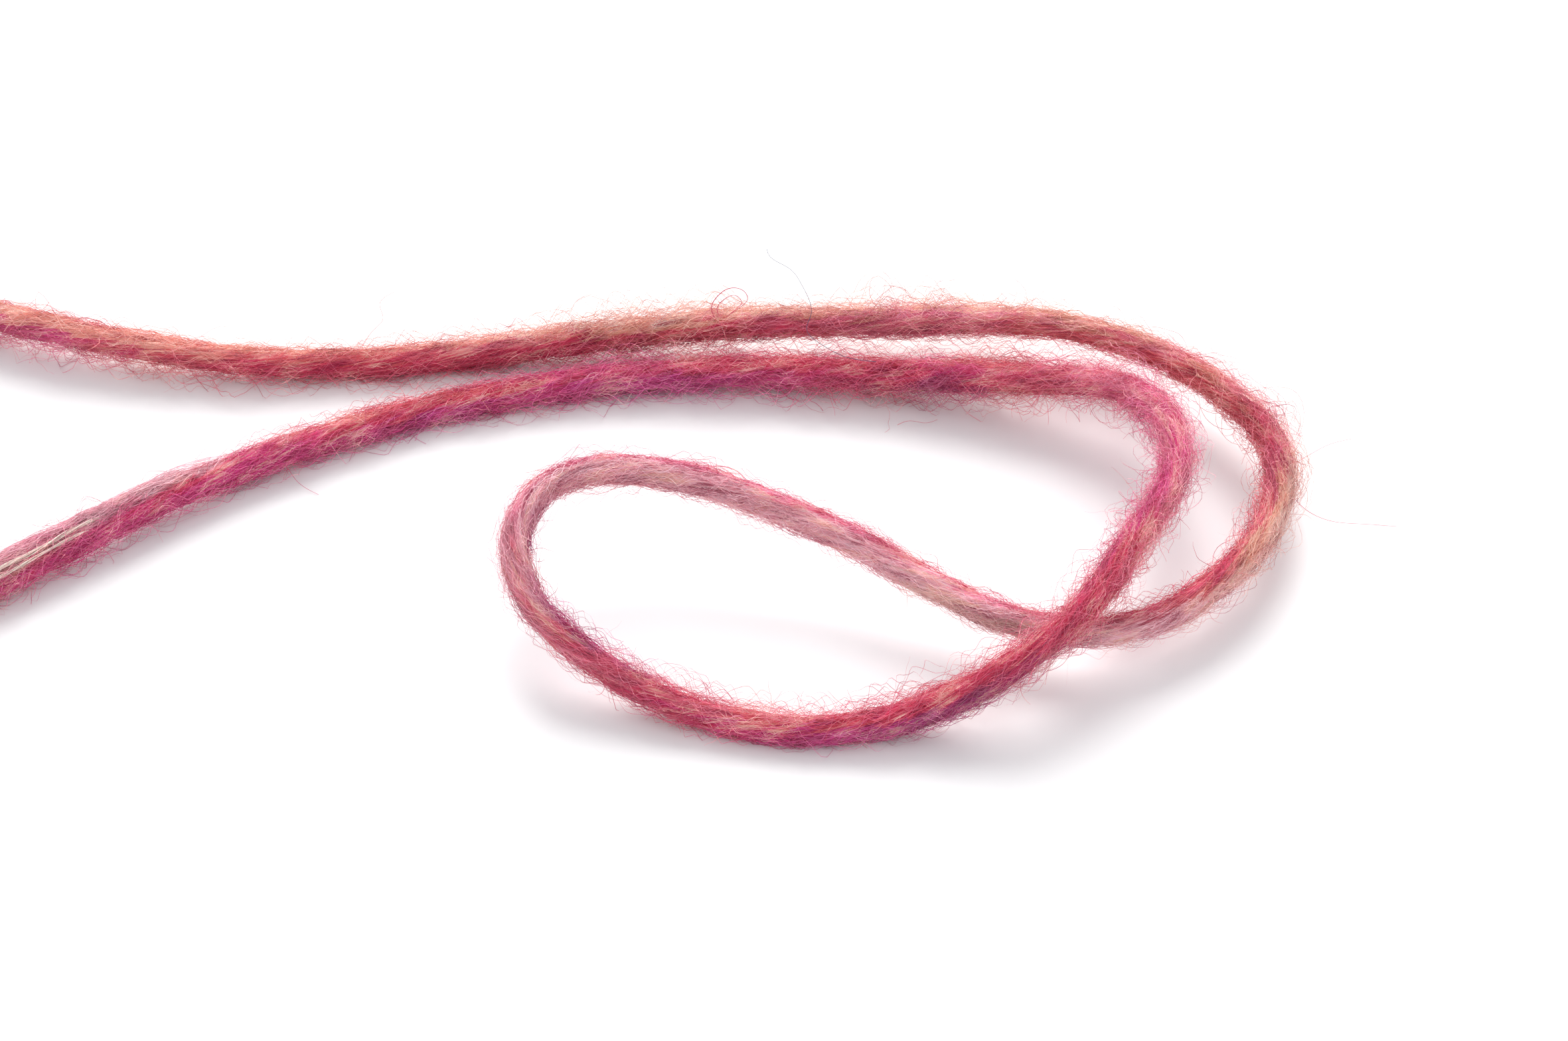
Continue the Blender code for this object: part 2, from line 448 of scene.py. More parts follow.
def dye_and_shade_chart():
    """The yarn's colour at a place: four dabbed bands that run into each other fibre by fibre. Besides
    the dye, the bands carry painted light, paler on top and darker below.
    """
    tree = bpy.data.node_groups.new("dye_and_shade_chart", "ShaderNodeTree")
    tree.interface.new_socket("Colour", in_out="OUTPUT", socket_type="NodeSocketColor")
    tree.interface.new_socket("Streaks", in_out="OUTPUT", socket_type="NodeSocketFloat")
    phase, along = places_on_yarn(tree)
    lay = sum_of(tree, "ADD", phase, sum_of(tree, "MULTIPLY", along, (1 - LAY_SHARE) * MM / TWIST_PITCH))
    noises = {}
    for name, streaks in STREAKS.items():
        noises[name] = streaky(tree, phase if name == "mottle" else lay, along, **streaks)
    fibres, blotches = noises["fibres"], noises["blotches"]
    # The side is taken from the yarn's right and up, not from its plies, so the bands stay put: painted
    # light on top and painted shade below, laid over the dye.
    side = sum_of(tree, "ADD", phase, sum_of(tree, "MULTIPLY", along, MM / TWIST_PITCH))
    for name, reach in EDGE_SHIFTS.items():
        side = shifted(tree, side, noises[name], reach)
    side = sum_of(tree, "FRACT", sum_of(tree, "ADD", side, UNDERSIDE))
    near = along
    for name, reach in DAB_SHIFTS.items():
        near = shifted(tree, near, noises[name], reach, 0.25, 0.75)
    colour = dye_ramps(tree, near, 0)
    for band, edge in enumerate(BAND_EDGES, start=1):
        past = ranged(tree, side, edge - BAND_BLUR, edge + BAND_BLUR, 0.0, 1.0, smooth=True)
        colour = mixed(tree, past, colour, dye_ramps(tree, near, band))
    for kind in (PALE, DARK):
        value = shifted(tree, fibres, blotches, kind["gather"], 0.35, 0.65)
        share = ranged(tree, value, kind["none"], kind["most"], 0.0, kind["share"])
        colour = mixed(tree, share, colour, linear(DYES[kind["dye"]]))
    out = add(tree, "NodeGroupOutput")
    tree.links.new(colour, out.inputs["Colour"])
    tree.links.new(fibres, out.inputs["Streaks"])
    return tree


DYE_AND_SHADE_CHART = dye_and_shade_chart()


def wool(name, tint_and_light_share, tint_and_light_colour, roughness, bump=0.0, softness=0.0):
    """Dyed wool: the chart's colour, mixed towards another one, with fine ridges if bump is set. The mix
    is the fibres' own tint on some pieces and painted light on the surface and lace fibres.
    """
    material = bpy.data.materials.new(name)
    material.use_nodes = True
    tree = material.node_tree
    surface = tree.nodes["Principled BSDF"]
    chart = add(tree, "ShaderNodeGroup", node_tree=DYE_AND_SHADE_CHART)
    colour = mixed(tree, tint_and_light_share, chart.outputs["Colour"], linear(DYES[tint_and_light_colour]))
    tree.links.new(colour, surface.inputs["Base Color"])
    surface.inputs["Roughness"].default_value = roughness
    surface.inputs["Specular IOR Level"].default_value = 0.2
    surface.inputs["Sheen Weight"].default_value = 0.15
    surface.inputs["Sheen Roughness"].default_value = 0.6
    surface.inputs["Sheen Tint"].default_value = linear((255, 220, 220))
    surface.inputs["Subsurface Weight"].default_value = softness
    surface.inputs["Subsurface Radius"].default_value = (1.0, 0.4, 0.45)
    surface.inputs["Subsurface Scale"].default_value = 0.5 * MM
    if bump:
        ridges = {"Height": chart.outputs["Streaks"], "Distance": bump, "Strength": 0.8}
        raised = add(tree, "ShaderNodeBump", ridges)
        tree.links.new(raised.outputs["Normal"], surface.inputs["Normal"])
    return material


yarn = bpy.data.objects.new("yarn_core", core_mesh())
bpy.context.scene.collection.objects.link(yarn)
yarn.data.materials.append(wool("dyed_wool_core", 0.0, "rose", 0.95, 0.12 * MM, 0.7))
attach(yarn, "root")
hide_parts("yarn")


# Fibres that lie on the core
# The outer fibres run more along the yarn than the plies do, with a slow wave, and some cross
# the others. Each dips back into the core at both ends.
FIBRE_RADIUS = 0.018 * MM
FLOOR_GAP = 0.03 * MM

# Each fibre is rolled this far past the one before, in radians, so that flat ones face every way
ROLL = 2.4

# No fibre sets out just this way, so its first face can be turned from it
ASKEW = (0.31, 0.62, 0.72)


def fibre_mesh(name, places, phase, along, radius, taper, sides=3):
    """Joins fibres into one mesh: round ones closed with three sides, or flat ones with two.
    places is fibres by points by 3. phase and along, where each has its dye from, and radius are
    fibres by points or by 1, and taper is a share of the radius for each point."""
    count, points = places.shape[:2]
    phase = np.broadcast_to(phase, (count, points))
    along = np.broadcast_to(along, (count, points))
    places = places.copy()
    places[..., 2] = np.maximum(places[..., 2], FLOOR_GAP)
    ahead = unit(np.gradient(places, axis=1))
    across = np.empty_like(places)
    first = unit(np.cross(ahead[:, 0], ASKEW))
    roll = ROLL * np.arange(count)[:, None]
    across[:, 0] = np.cos(roll) * first + np.sin(roll) * np.cross(ahead[:, 0], first)
    for i in range(1, points):
        turned = across[:, i - 1] - ahead[:, i] * (across[:, i - 1] * ahead[:, i]).sum(1)[:, None]
        across[:, i] = unit(turned)
    other = np.cross(ahead, across)
    turns = np.arange(sides) * 2 * math.pi / sides
    ring = np.cos(turns)[:, None] * across[:, :, None] + np.sin(turns)[:, None] * other[:, :, None]
    corners = places[:, :, None] + ring * (radius * taper)[..., None, None]
    number = np.arange(count * points * sides).reshape(count, points, sides)
    here, there = number[:, :-1], number[:, 1:]
    walls = np.stack([here, np.roll(here, -1, 2), np.roll(there, -1, 2), there], axis=-1)
    if sides == 2:
        walls = walls[:, :, :1]
    walls = walls.reshape(-1, 4)
    starts = np.arange(len(walls)) * 4
    loops = walls.ravel()
    if sides == 3:
        ends = np.concatenate([number[:, 0, ::-1], number[:, -1]])
        starts = np.concatenate([starts, walls.size + np.arange(len(ends)) * 3])
        loops = np.concatenate([loops, ends.ravel()])
    mesh = bpy.data.meshes.new(name)
    mesh.vertices.add(corners.size // 3)
    mesh.vertices.foreach_set("co", corners.ravel())
    mesh.loops.add(len(loops))
    mesh.loops.foreach_set("vertex_index", loops)
    mesh.polygons.add(len(starts))
    mesh.polygons.foreach_set("loop_start", starts)
    mesh.update(calc_edges=True)
    mesh.uv_layers.new(name="OFBake")
    mesh.uv_layers["OFBake"].uv.foreach_set("vector", fibre_chart(phase, along, sides).ravel())
    mesh.polygons.foreach_set("use_smooth", np.ones(len(starts), dtype=bool))
    return mesh


# A fibre's place on the colour chart is a strip this wide, and it keeps this far from the edge
CHART_WIDTH = 0.004
CHART_EDGE = 0.001


def fibre_chart(phase, along, sides):
    """Where each corner of the fibres' faces lies on the colour chart, from 0 to 1 both ways."""
    cap = CAP_RINGS * LENGTH / (len(LINE) - 1)
    v = np.clip((along + cap) / (LENGTH + 2 * cap), CHART_EDGE, 1 - CHART_EDGE)
    low = np.floor(np.minimum(phase[:, :-1], phase[:, 1:]))
    u_here, u_there = phase[:, :-1] - low, phase[:, 1:] - low
    strips = 1 if sides == 2 else sides
    shift = (np.arange(strips + 1) / strips - 0.5) * CHART_WIDTH
    walls = np.empty((*u_here.shape, strips, 4, 2))
    for k in range(strips):
        walls[:, :, k, 0, 0] = u_here + shift[k]
        walls[:, :, k, 1, 0] = u_here + shift[k + 1]
        walls[:, :, k, 2, 0] = u_there + shift[k + 1]
        walls[:, :, k, 3, 0] = u_there + shift[k]
    walls[..., 0:2, 1] = v[:, :-1, None, None]
    walls[..., 2:4, 1] = v[:, 1:, None, None]
    chart = walls.reshape(-1, 2)
    if sides == 3:
        caps = np.empty((2, len(phase), 3, 2))
        for end, point in enumerate((0, -1)):
            caps[end, :, :, 0] = np.mod(phase[:, point], 1.0)[:, None] + shift[:3]
            caps[end, :, :, 1] = v[:, point][:, None] + np.array([0.0, CHART_EDGE, 0.0])
        chart = np.concatenate([chart, caps.reshape(-1, 2)])
    return np.clip(chart, 0.0, 1.0)


def fibre_piece(mesh, material):
    """The fibres as one piece that goes with the core."""
    piece = bpy.data.objects.new(mesh.name, mesh)
    bpy.context.scene.collection.objects.link(piece)
    piece.data.materials.append(material)
    piece.parent = yarn
    return piece


def on_yarn(along, side, height):
    """A place that far above the core's surface."""
    inside = np.clip(along, 0.0, LENGTH)
    reach = core_radius(inside, side) + height
    beyond = (along - inside)[..., None] * at_distance(AHEAD, inside)
    return at_distance(LINE, inside) + beyond + outward(inside, side) * reach[..., None]


def arch(run, power):
    """How high a fibre stands along its run: 0 at both ends, 1 in the middle."""
    return np.sin(math.pi * run) ** power


def slim_ends(run, share):
    """How thick a fibre is along its run: 1 in the middle, and less by the share at both ends."""
    return 1 - share * (2 * run - 1) ** 4


# "painted_light" is a share of pale pink mixed in: on the second kind it is painted highlights on
# the core. "lean" is how far the fibres' own lean strays, in the plies' twists, "swing" how far they
# wave, in turns round the yarn, and "lift" their mean height, in millimetres as the lengths below are
SURFACES = [
    {"painted_light": 0.0, "seed": 20, "fibres": 6500, "lean": 0.5, "swing": 0.045, "lift": 0.09},
    {"painted_light": 0.15, "seed": 21, "fibres": 1800, "lean": 0.8, "swing": 0.05, "lift": 0.10},
]
SURFACE_POINTS = 12
SURFACE_FROM = -0.5 * MM
SURFACE_TO = LENGTH - 1.0 * MM
SURFACE_LENGTHS = (1.4, 4.0)
SURFACE_THICKNESS = (0.8, 1.3)
SURFACE_WAVES = (0.9, 2.2)
SURFACE_HIGHEST = 0.4
SURFACE_CLEAR = 0.02
SURFACE_DIP = 0.05

for number, kind in enumerate(SURFACES, start=1):
    chance = np.random.default_rng(kind["seed"])
    one_each = (kind["fibres"], 1)
    run = np.linspace(0.0, 1.0, SURFACE_POINTS)
    length = chance.uniform(*SURFACE_LENGTHS, one_each) * MM
    start = chance.uniform(SURFACE_FROM, SURFACE_TO, one_each)
    along = start + length * run
    lean = chance.normal(LAY_SHARE, kind["lean"], one_each)
    side = chance.uniform(0.0, 1.0, one_each) + lean * (along - start) / TWIST_PITCH
    waves = length * run / (chance.uniform(*SURFACE_WAVES, one_each) * MM) + start / MM
    side += chance.uniform(0.0, kind["swing"], one_each) * np.sin(2 * math.pi * waves)
    lift = chance.exponential(kind["lift"], one_each).clip(0.0, SURFACE_HIGHEST) * MM
    height = lift * arch(run, 0.6) + (SURFACE_CLEAR - SURFACE_DIP * (2 * run - 1) ** 6) * MM
    mesh = fibre_mesh(
        f"surface_fibres_{number}",
        on_yarn(along, side, height),
        side - along / TWIST_PITCH,
        along,
        FIBRE_RADIUS * chance.uniform(*SURFACE_THICKNESS, one_each),
        slim_ends(run, 0.4),
        sides=2,
    )
    # The mix towards pale pink is painted light: highlights on the second kind of fibres.
    fibre_piece(mesh, wool(f"dyed_wool_surface_{number}", kind["painted_light"], "pale pink", 0.9))


# Lace of crimped fibres round the core
# Fine merino fibres stand off the core in long low arches and keep their crimp, so they cross
# into a lace of lens-shaped gaps. It stands higher above the yarn or hangs lower below it by turns.

# "at" is millimetres along the yarn, "amount" how many fibres start there against elsewhere, and
# "above" and "below" how high they stand on the upper and back side, and on the one across from it
FLUFF = [
    {"at": 0, "amount": 1.0, "above": 0.8, "below": 1.0},
    {"at": 14, "amount": 1.0, "above": 0.4, "below": 1.4},
    {"at": 25, "amount": 1.0, "above": 0.5, "below": 1.4},
    {"at": 32, "amount": 1.0, "above": 0.8, "below": 0.9},
    {"at": 38, "amount": 1.1, "above": 1.0, "below": 0.7},
    {"at": 44, "amount": 1.6, "above": 1.7, "below": 1.1},
    {"at": 50, "amount": 1.3, "above": 1.3, "below": 1.0},
    {"at": 54, "amount": 1.0, "above": 0.8, "below": 0.6},
    {"at": 60, "amount": 1.7, "above": 1.8, "below": 0.6},
    {"at": 64, "amount": 1.5, "above": 1.6, "below": 0.6},
    {"at": 69, "amount": 1.0, "above": 0.8, "below": 0.5},
    {"at": 78, "amount": 1.0, "above": 0.8, "below": 0.6},
    {"at": 84, "amount": 1.5, "above": 1.6, "below": 0.7},
    {"at": 94, "amount": 1.0, "above": 0.9, "below": 0.7},
    {"at": 106, "amount": 0.8, "above": 0.6, "below": 0.6},
    {"at": 125, "amount": 0.8, "above": 0.5, "below": 0.6},
    {"at": 145, "amount": 0.8, "above": 0.6, "below": 0.8},
    {"at": 158, "amount": 1.0, "above": 1.3, "below": 0.4},
    {"at": 169, "amount": 1.0, "above": 1.2, "below": 0.4},
    {"at": 180, "amount": 1.1, "above": 1.1, "below": 0.9},
    {"at": 195, "amount": 1.4, "above": 1.4, "below": 1.0},
    {"at": 206, "amount": 1.4, "above": 1.3, "below": 1.2},
    {"at": 218, "amount": 1.4, "above": 0.9, "below": 1.3},
    {"at": 228, "amount": 1.3, "above": 1.0, "below": 1.1},
    {"at": 240, "amount": 1.3, "above": 0.7, "below": 1.1},
    {"at": 255, "amount": 0.8, "above": 0.6, "below": 0.7},
    {"at": 266, "amount": 0.8, "above": 1.1, "below": 0.8},
    {"at": 278, "amount": 0.8, "above": 1.2, "below": 0.9},
]
FLUFF_AT = np.array([row["at"] for row in FLUFF]) * MM
FLUFF_MARKS = 600
BACK_AND_UP = unit(np.array([0.0, 1.0, 1.0]))


def fluffy_places(chance, count):
    """Places for count fibres, along the yarn and round it, and how high the fluff stands there."""
    marks = np.linspace(0.0, LENGTH, FLUFF_MARKS)
    amount = np.cumsum(np.interp(marks, FLUFF_AT, [row["amount"] for row in FLUFF]))
    share = (amount - amount[0]) / np.ptp(amount)
    start = np.interp(chance.uniform(0.0, 1.0, (count, 1)), share, marks)
    side = chance.uniform(0.0, 1.0, (count, 1))
    above = 0.5 + 0.5 * outward(start, side) @ BACK_AND_UP
    high = above * np.interp(start, FLUFF_AT, [row["above"] for row in FLUFF])
    high += (1 - above) * np.interp(start, FLUFF_AT, [row["below"] for row in FLUFF])
    return start, side, high


# "painted_light" mixes the outer layers a little towards pale pink: painted light, for the glow of light
# through the backlit fluff.
LACES = [
    {"painted_light": 0.0, "seed": 40, "fibres": 2600, "thick": 0.012, "low": 0.03, "lift": 0.14, "crimp": 0.05},
    {"painted_light": 0.05, "seed": 41, "fibres": 3000, "thick": 0.012, "low": 0.08, "lift": 0.20, "crimp": 0.07},
    {"painted_light": 0.1, "seed": 42, "fibres": 4200, "thick": 0.011, "low": 0.16, "lift": 0.28, "crimp": 0.10},
    {"painted_light": 0.15, "seed": 43, "fibres": 4600, "thick": 0.011, "low": 0.26, "lift": 0.36, "crimp": 0.13},
    {"painted_light": 0.15, "seed": 44, "fibres": 4800, "thick": 0.011, "low": 0.34, "lift": 0.44, "crimp": 0.15},
]
LACE_POINTS = 15
LACE_LENGTHS = (1.8, 4.0)
LACE_WAVES = (1.6, 2.8)
LACE_CRIMPS = (0.4, 1.2)
LACE_HIGHEST = 1.1
LACE_ROOTED = 0.02
LACE_LEAN = 0.3
LACE_LEAN_SPREAD = 0.9

# The crimp also waves sideways and endways: share of its height, and rate against its own
SIDEWAYS = {"share": 1.4, "rate": 0.83}
ENDWAYS = {"share": 0.5, "rate": 1.3}

# Any angle in radians, for where a wave starts, and how uneven loose fibres' thickness is
ANY_ANGLE = (0.0, 6.3)
UNEVEN = (0.7, 1.3)

for number, kind in enumerate(LACES, start=1):
    chance = np.random.default_rng(kind["seed"])
    one_each = (kind["fibres"], 1)
    run = np.linspace(0.0, 1.0, LACE_POINTS)
    start, side, high = fluffy_places(chance, kind["fibres"])
    length = chance.uniform(*LACE_LENGTHS, one_each) * MM
    along = start + length * (run - 0.5)
    wave = length / chance.uniform(*LACE_WAVES, one_each)
    crimp = chance.uniform(*LACE_CRIMPS, one_each) * kind["crimp"] * MM
    waves = 2 * math.pi * (along - start) / wave + chance.uniform(*ANY_ANGLE, one_each)
    lift = chance.exponential(kind["lift"], one_each).clip(0.0, LACE_HIGHEST)
    rise = (lift + kind["low"]) * high * MM
    height = rise * arch(run, 0.7) + crimp * np.sin(waves) - LACE_ROOTED * MM
    lean = chance.normal(LACE_LEAN, LACE_LEAN_SPREAD, one_each)
    side = side + lean * length * run / TWIST_PITCH
    sway = crimp * np.cos(waves * SIDEWAYS["rate"] + start / MM)
    side += sway / (2 * math.pi * RADIUS) * SIDEWAYS["share"]
    along = along + crimp * ENDWAYS["share"] * np.cos(waves * ENDWAYS["rate"])
    mesh = fibre_mesh(
        f"lace_fibres_{number}",
        on_yarn(along, side, height),
        side - along / TWIST_PITCH,
        along,
        kind["thick"] * MM * chance.uniform(*UNEVEN, one_each),
        slim_ends(run, 0.5),
        sides=2,
    )
    # The mix towards pale pink is painted light for the backlit fluff.
    fibre_piece(mesh, wool(f"dyed_wool_lace_{number}", kind["painted_light"], "pale pink", 0.85))


# Loose fibre ends
# One end of each is held in the core. The other wanders out, curls and hooks, and rests on the
# table where it comes down to it.

# Sizes are millimetres. "outward" and "spread" are shares of the way along the yarn, "lengths" a
# gamma distribution, and "curl" and "crimp" bends, in radians for each metre of fibre
LOOSE = {
    "seed": 60,
    "fibres": 4600,
    "points": 12,
    "thick": 0.013,
    "taper": 0.6,
    "rooted": 0.05,
    "outward": (0.2, 1.4),
    "spread": 0.6,
    "lengths": (4.0, 0.33),
    "shortest": 0.5,
    "longest": 3.2,
    "curl": 1100,
    "crimp": 1300,
    "dye drift": 0.3,
}
CRIMP_WAVES = (0.7, 1.4)


def wandering(chance, start, way, length, points, curl, crimp):
    """Lines from start that set out one way, curl slowly and wave with the wool's crimp."""
    count = len(start)
    step = length / (points - 1)
    curl_axis = unit(np.cross(way, chance.normal(size=(count, 3))))
    crimp_axis = unit(np.cross(way, chance.normal(size=(count, 3))))
    wave = chance.uniform(*CRIMP_WAVES, (count, 1)) * MM
    phase = chance.uniform(*ANY_ANGLE, (count, 1))
    places = [start]
    for i in range(1, points):
        swing = crimp * np.sin(2 * math.pi * i * step / wave + phase)
        turn = curl_axis * curl + crimp_axis * swing
        way = unit(way + np.cross(turn, way) * step)
        places.append(places[-1] + way * step)
    return np.stack(places, axis=1)


chance = np.random.default_rng(LOOSE["seed"])
one_each = (LOOSE["fibres"], 1)
start, side, high = fluffy_places(chance, LOOSE["fibres"])
root = on_yarn(start, side, -LOOSE["rooted"] * MM)[:, 0]
out = outward(start, side)[:, 0]
onward = at_distance(AHEAD, start)[:, 0] * chance.choice((-1, 1), one_each)
around = np.cross(onward, out)
way = onward + out * chance.uniform(*LOOSE["outward"], one_each)
way = unit(way + around * chance.normal(0, LOOSE["spread"], one_each))
length = chance.gamma(*LOOSE["lengths"], one_each).clip(LOOSE["shortest"], LOOSE["longest"])
length = length * high * MM
curl = chance.normal(0, LOOSE["curl"], one_each)
places = wandering(chance, root, way, length, LOOSE["points"], curl, LOOSE["crimp"])
run = np.linspace(0.0, 1.0, LOOSE["points"])
mesh = fibre_mesh(
    "loose_fibres",
    places,
    np.mod(side - start / TWIST_PITCH, 1.0),
    start + length * LOOSE["dye drift"] * run,
    LOOSE["thick"] * MM * chance.uniform(*UNEVEN, one_each),
    1 - LOOSE["taper"] * run**2,
    sides=2,
)
fibre_piece(mesh, wool("dyed_wool_loose", 0.35, "brick", 0.85))


# Undyed thread at the second end
# One thin undyed cotton thread is plied in with the wool. Where the plies open it comes to the
# surface, pale against the dyes, with a finer strand that leaves it.
THREAD_SEED = 70
THREAD_POINTS = 40
THREAD_RADIUS = 0.034 * MM
THREAD_THICKNESS = (0.8, 1.2)
THREAD_TURNS = (1.5, 2.5)
THREAD_NARROWS = 0.5
THREAD_DIP = 0.25 * MM
THREADS = [
    {"fibres": 18, "thick": 0.14, "above": 0.24, "from": 277.5, "to": 263.5, "sides": (0.335, 0.225)},
    {"fibres": 8, "thick": 0.08, "above": 0.22, "from": 275.5, "to": 265.0, "sides": (0.385, 0.300)},
]

chance = np.random.default_rng(THREAD_SEED)
run = np.linspace(0.0, 1.0, THREAD_POINTS)
lines, phases, marks = [], [], []
for thread in THREADS:
    along = np.linspace(thread["from"], thread["to"], THREAD_POINTS) * MM
    middle = np.linspace(*thread["sides"], THREAD_POINTS)
    for _ in range(thread["fibres"]):
        off = math.sqrt(chance.uniform(0.02, 1.0)) * thread["thick"] * MM
        turn = chance.uniform(*ANY_ANGLE) + 2 * math.pi * run * chance.uniform(*THREAD_TURNS)
        off = off * (1 - THREAD_NARROWS * (2 * run - 1) ** 6)
        side = middle + off * np.cos(turn) / (2 * math.pi * RADIUS)
        height = thread["above"] * MM + off * np.sin(turn) - THREAD_DIP * (2 * run - 1) ** 8
        lines.append(on_yarn(along, side, height))
        phases.append(side - along / TWIST_PITCH)
        marks.append(along)
mesh = fibre_mesh(
    "undyed_thread",
    np.array(lines),
    np.array(phases),
    np.array(marks),
    THREAD_RADIUS * chance.uniform(*THREAD_THICKNESS, (len(lines), 1)),
    np.ones(THREAD_POINTS),
)
fibre_piece(mesh, wool("undyed_cotton", 0.92, "ecru", 0.8))


# Opened ply at the second end
# One ply was dyed pale pink there. It has lost its twist, so it lies open beside the thread as a
# broad soft band of nearly straight fibres, high in its middle and low at its edges.

# Sizes are millimetres, but "side", "wide" and "swing" are turns round the yarn, "lean" is a share
# of the plies' twist, and "thickness" a share of FIBRE_RADIUS
OPEN_PLY = {
    "seed": 71,
    "fibres": 1300,
    "points": 14,
    "from": 262.0,
    "to": 280.0,
    "lengths": (3.0, 7.0),
    "thickness": (0.7, 1.2),
    "side": 0.14,
    "lean": 0.05,
    "wide": 0.07,
    "lift": (0.10, 0.75),
    "swing": 0.02,
    "wave": 2.2,
    "ripple": 0.03,
}

chance = np.random.default_rng(OPEN_PLY["seed"])
one_each = (OPEN_PLY["fibres"], 1)
run = np.linspace(0.0, 1.0, OPEN_PLY["points"])
length = chance.uniform(*OPEN_PLY["lengths"], one_each) * MM
along = chance.uniform(OPEN_PLY["from"], OPEN_PLY["to"], one_each) * MM - length * run
off = chance.normal(0.0, 1.0, one_each)
side = OPEN_PLY["side"] + (along - OPEN_PLY["from"] * MM) / TWIST_PITCH * OPEN_PLY["lean"]
side = side + OPEN_PLY["wide"] * off
waves = 2 * math.pi * length * run / (OPEN_PLY["wave"] * MM) + chance.uniform(*ANY_ANGLE, one_each)
side += OPEN_PLY["swing"] * np.sin(waves)
height = chance.uniform(*OPEN_PLY["lift"], one_each) * np.exp(-(off**2) / 2) * MM
height = height * arch(run, 0.5) + OPEN_PLY["ripple"] * MM * np.sin(9 * run + 6 * off)
mesh = fibre_mesh(
    "opened_ply",
    on_yarn(along, side, height),
    side - along / TWIST_PITCH,
    along,
    FIBRE_RADIUS * chance.uniform(*OPEN_PLY["thickness"], one_each),
    slim_ends(run, 0.4),
    sides=2,
)
fibre_piece(mesh, wool("dyed_wool_open_ply", 0.6, "pale pink", 0.9))


# Cut ends
# The yarn is cut straight across with scissors, and left bare. The cut fibres spring out of the
# plies a little, each to a length of its own, so the end is a short soft brush.

# Sizes are millimetres. "outward", "curl" and "crimp" are as in the loose ends
BRUSH = {
    "seed": 80,
    "fibres": 380,
    "points": 8,
    "thick": 0.016,
    "rooted": 0.1,
    "outward": (0.0, 0.7),
    "lengths": (0.5, 1.9),
    "curl": 350,
    "crimp": 900,
}

chance = np.random.default_rng(BRUSH["seed"])
one_each = (BRUSH["fibres"], 1)
lines, phases, marks = [], [], []
for ring, facing in ((0, -1.0), (-1, 1.0)):
    turn = chance.uniform(0.0, 2 * math.pi, one_each)
    out = np.cos(turn) * RIGHT[ring] + np.sin(turn) * UPWARD[ring]
    share = np.sqrt(chance.uniform(0.0, 1.0, one_each))
    end = ALONG[ring] - facing * BRUSH["rooted"] * MM
    reach = core_radius(np.full(one_each, end), turn / (2 * math.pi)) * share
    root = LINE[ring] - facing * BRUSH["rooted"] * MM * AHEAD[ring] + out * reach
    way = unit(facing * AHEAD[ring] + out * share * chance.uniform(*BRUSH["outward"], one_each))
    length = chance.uniform(*BRUSH["lengths"], one_each) * MM
    curl = chance.normal(0, BRUSH["curl"], one_each)
    lines.append(wandering(chance, root, way, length, BRUSH["points"], curl, BRUSH["crimp"]))
    phases.append(turn / (2 * math.pi) - end / TWIST_PITCH)
    marks.append(np.full(one_each, end))
mesh = fibre_mesh(
    "cut_ends",
    np.concatenate(lines),
    np.concatenate(phases),
    np.concatenate(marks),
    BRUSH["thick"] * MM * chance.uniform(*UNEVEN, (2 * BRUSH["fibres"], 1)),
    np.ones(BRUSH["points"]),
    sides=2,
)
fibre_piece(mesh, wool("dyed_wool_cut_ends", 0.15, "pale pink", 0.9))


# Long hairs that stand out alone
# A few long fibres have worked out of the yarn: curls over the upper strand, and hairs that reach
# the table. They are smoother and stiffer than the fluff, so each keeps one clear line.
HAIR_POINTS = 40
HAIR_TIP = 0.6

